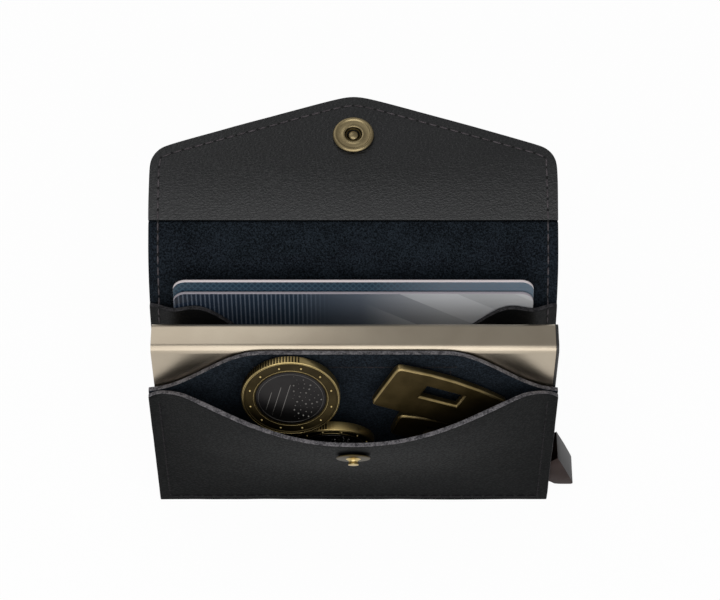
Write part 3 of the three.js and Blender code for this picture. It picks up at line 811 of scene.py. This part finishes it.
def coin_relief(coin_name, radius, core):
    at = coin_frame(f"{coin_name}_ring")
    # The raised brass relief is in the bright brass: painted highlight
    brass = [
        raised_ring(placed(*at, 0, 0, COIN_HALF - 0.02), radius - 0.35, 0.07),
        raised_ring(placed(*at, 0, 0, COIN_FIELD), core + 0.45, 0.05),
    ]
    middle = (radius + core) / 2 - 0.1
    for i in range(RING_BEADS):
        angle = math.radians(360 / RING_BEADS * (i + 0.5))
        spot = placed(*at, middle * math.cos(angle), middle * math.sin(angle), COIN_FIELD)
        brass.append(raised_bead(spot, 0.32))
    relief(f"{coin_name}_ring_relief", brass, HIGHLIGHT_BRASS)
    # The raised nickel relief is in the brighter nickel: painted highlight
    nickel = [raised_ring(placed(*at, 0, 0, COIN_FIELD), core - 0.7, 0.05)]
    for i in range(CORE_DOTS):
        angle = i * GOLDEN_ANGLE
        reach = core * 0.86 * math.sqrt((i + 0.5) / CORE_DOTS)
        x, y = reach * math.cos(angle), reach * math.sin(angle)
        if x > core * 0.05:
            nickel.append(raised_bead(placed(*at, x, y, COIN_FIELD), 0.1 + 0.09 * (i % 3)))
    for x, length in ((-0.62, 0.7), (-0.4, 1.1), (-0.16, 1.3)):
        spot = placed(*at, x * core, -0.1 * core, COIN_FIELD + 0.02, -0.25)
        nickel.append(raised_block(spot, (0.14, length * core, 0.1)))
    relief(f"{coin_name}_core_relief", nickel, HIGHLIGHT_NICKEL)


def coin_reeding(coin_name, radius, start, end, count):
    """Fine ribs across a coin's edge, over a part of it; the rest of the edge is plain."""
    at = coin_frame(f"{coin_name}_ring")
    ribs = []
    for i in range(count):
        angle = math.radians(start + (end - start) * i / (count - 1))
        spot = placed(*at, radius * math.cos(angle), radius * math.sin(angle), 0, angle)
        ribs.append(raised_block(spot, (0.34, 0.34, COIN_HALF * 1.6)))
    relief(f"{coin_name}_reeding", ribs, SHADE_DARKENED_BRASS)


for coin_name, (radius, core) in (("coin_upper", UPPER_COIN), ("coin_lower", LOWER_COIN)):
    rim = dressed(f"{coin_name}_ring", f"{coin_name}_rim", SHADE_DARKENED_BRASS, 0.05, 2, 20)
    # The rim's edge faces are given the bright brass: painted highlight
    rim.data.materials.append(HIGHLIGHT_BRASS)
    centre, axis, _, _ = coin_frame(f"{coin_name}_ring")
    for polygon in rim.data.polygons:
        spoke = polygon.center - centre
        spoke -= axis * spoke.dot(axis)
        if spoke.length > (radius - 0.5) * MM and abs(polygon.normal.dot(axis)) < 0.9:
            polygon.material_index = 1
    dressed(f"{coin_name}_core", f"{coin_name}_field", SHADE_DARKENED_NICKEL, 0.08, 2, 30)
    coin_relief(coin_name, radius, core)
coin_reeding("coin_upper", UPPER_COIN[0] - 0.025, 80, 176, 28)
coin_reeding("coin_lower", LOWER_COIN[0] - 0.03, 98, 176, 22)


# Cards


def card_finish(piece, face, edge):
    """Printed faces and a pale cut edge."""
    paint(piece, face, edge)
    for polygon in piece.data.polygons:
        polygon.material_index = 0 if abs(polygon.normal.y) > 0.85 else 1


rear_card = dressed("card_rear", "blue_bank_card", BLUE_CARD, 0.08)
card_finish(rear_card, BLUE_CARD, CARD_CORE)
front_card = dressed("card_front", "silver_bank_card", SILVER_CARD, 0.08)
card_finish(front_card, SILVER_CARD, CARD_CORE_DIM)


# Studio

FLOOR_SIZE = 6.0
FLOOR_DROP = 0.0002
FLOOR_SHARE = 0.96
MIRRORED_SHARE = 0.6
WORLD_LIGHT = 0.33

# Name, place, aim, size and power of each lamp
LAMPS = [
    ("key_light", (-0.08, -0.45, 0.95), (0, 0, 0.05), (1.2, 0.7), 3.8),
    ("front_light", (0.0, -0.95, 0.5), (0, 0, 0.06), (1.7, 0.8), 6.4),
    ("fill_light", (0.8, -0.5, 0.6), (0, 0, 0.05), (0.7, 0.7), 0.4),
    ("back_light", (-0.38, 0.62, 0.8), (0, 0, 0.06), (0.6, 0.55), 0.95),
]


def make_floor():
    """Floor that is seen as white, by the camera and in metal and glass, and still takes a faint shadow."""
    bpy.ops.mesh.primitive_plane_add(size=FLOOR_SIZE, location=(0, 0, -FLOOR_DROP))
    floor = bpy.context.object
    floor.name = "floor"
    finish = Finish("floor_white")
    finish.set(Base_Color=(0.9, 0.9, 0.9), Roughness=0.9)
    path = finish.tree.nodes.new("ShaderNodeLightPath")
    rays = [Socket(finish, path.outputs[f"Is {kind} Ray"]) for kind in ("Camera", "Glossy", "Transmission")]
    seen = (rays[0] * FLOOR_SHARE).greatest(rays[1].greatest(rays[2]) * MIRRORED_SHARE)
    glow = finish.add("ShaderNodeEmission", None, {"Color": FLOOR_WHITE, "Strength": 1.0})
    mixer = finish.tree.nodes.new("ShaderNodeMixShader")
    output = finish.tree.nodes["Material Output"]
    finish.plug(mixer.inputs[0], seen)
    finish.tree.links.new(finish.shader.outputs[0], mixer.inputs[1])
    finish.tree.links.new(glow.source, mixer.inputs[2])
    finish.tree.links.new(mixer.outputs[0], output.inputs[0])
    paint(floor, finish.material)


def area_light(name, at, aim, size, power):
    bpy.ops.object.light_add(type="AREA", location=at)
    lamp = bpy.context.object
    lamp.name = name
    lamp.data.shape = "RECTANGLE"
    lamp.data.size, lamp.data.size_y = size
    lamp.data.energy = power
    lamp.rotation_euler = (Vector(aim) - Vector(at)).to_track_quat("-Z", "Y").to_euler()


def make_lights():
    for lamp in LAMPS:
        area_light(*lamp)
    world = bpy.data.worlds.new("studio")
    bpy.context.scene.world = world
    world.use_nodes = True
    background = world.node_tree.nodes["Background"]
    background.inputs["Color"].default_value = (1, 1, 1, 1)
    background.inputs["Strength"].default_value = WORLD_LIGHT
    bpy.context.scene.view_settings.view_transform = "Standard"


make_camera()
make_floor()
make_lights()
